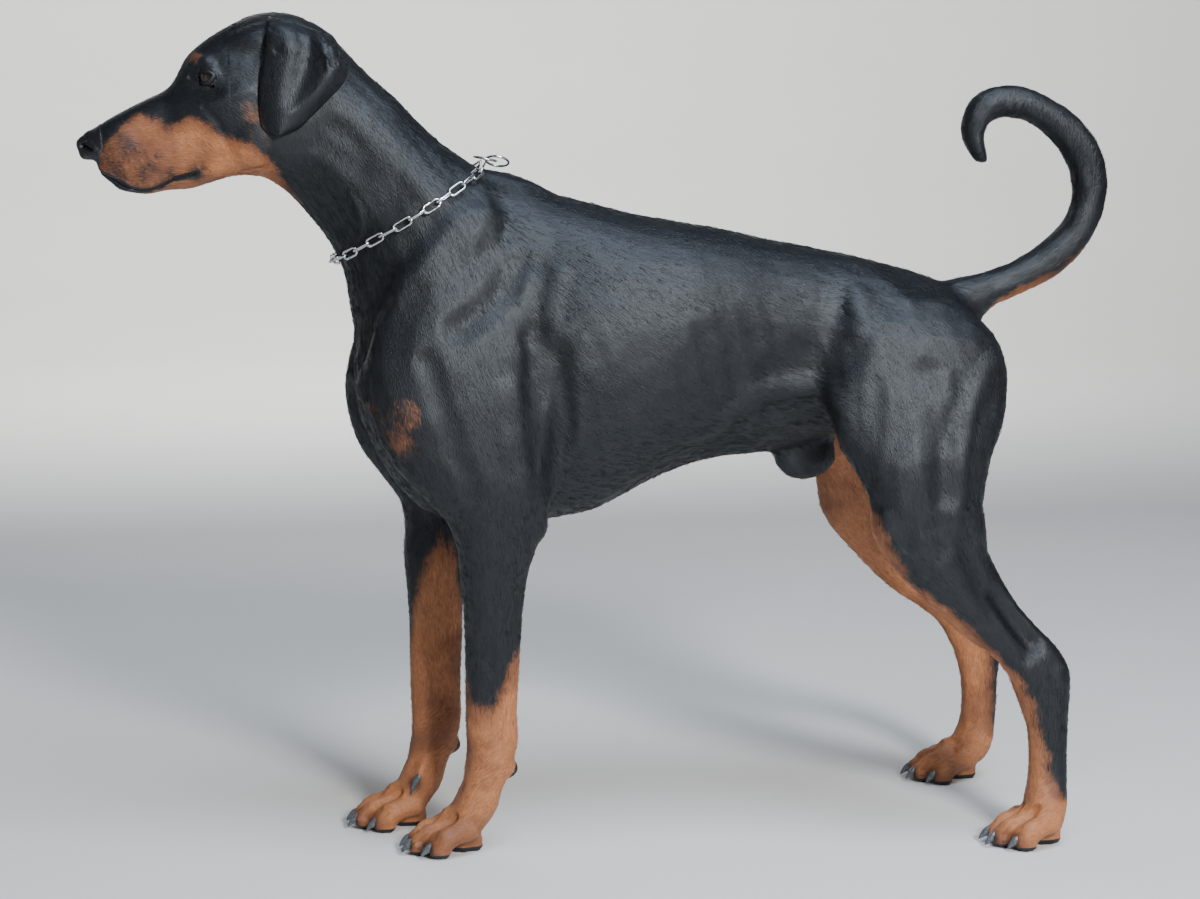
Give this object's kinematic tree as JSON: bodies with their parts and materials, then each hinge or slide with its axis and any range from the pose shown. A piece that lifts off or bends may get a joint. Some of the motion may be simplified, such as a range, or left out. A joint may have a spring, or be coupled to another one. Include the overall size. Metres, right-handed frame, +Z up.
{
  "type": "doberman pinscher",
  "caption": "Life-size still model of a standing male dog with a black and rust coat, drop ears and an upcurved tail, wearing a steel chain collar",
  "frame": {"origin": "on the floor, under the middle of the whole dog's box", "axes": "-X is the way the dog looks, +X runs to its tail, -Y is its left side and +Z is up"},
  "size_m": [1.1031, 0.3455, 0.8869],
  "materials": {
    "coat_black": "short glossy black coat with a grey-blue sheen",
    "coat_tan": "short rust-brown coat",
    "claw": "dark grey horn, satin",
    "eye": "dark brown iris under a wet clear surface",
    "chain_steel": "polished steel wire links"
  },
  "bodies": {
    "root": {"claw_fore_left_1": "claw", "claw_fore_left_2": "claw", "claw_fore_left_3": "claw", "claw_fore_left_4": "claw", "claw_fore_left_5": "claw", "claw_fore_right_1": "claw", "claw_fore_right_2": "claw", "claw_fore_right_3": "claw", "claw_fore_right_4": "claw", "claw_fore_right_5": "claw", "claw_hind_left_2": "claw", "claw_hind_left_3": "claw", "claw_hind_left_4": "claw", "claw_hind_left_5": "claw", "claw_hind_right_2": "claw", "claw_hind_right_3": "claw", "claw_hind_right_4": "claw", "claw_hind_right_5": "claw", "collar_chain_1": "chain_steel", "collar_chain_2": "chain_steel", "collar_chain_3": "chain_steel", "collar_chain_4": "chain_steel", "collar_chain_5": "chain_steel", "collar_chain_6": "chain_steel", "collar_chain_7": "chain_steel", "collar_chain_8": "chain_steel", "collar_ring_1": "chain_steel", "collar_ring_2": "chain_steel", "ear_left": "coat_black", "ear_right": "coat_black", "eye_left": "eye", "eye_right": "eye", "forearm_left": "coat_black", "forearm_right": "coat_black", "forepaw_left": "coat_tan", "forepaw_right": "coat_tan", "head": "coat_black", "hindpaw_left": "coat_tan", "hindpaw_right": "coat_tan", "neck": "coat_black", "shank_left": "coat_black", "shank_right": "coat_black", "tail_lower": "coat_black", "tail_root": "coat_black", "tail_tip": "coat_black", "tail_upper": "coat_black", "thigh_left": "coat_black", "thigh_right": "coat_black", "torso": "coat_black", "upper_arm_left": "coat_black", "upper_arm_right": "coat_black"}
  },
  "joints": []
}
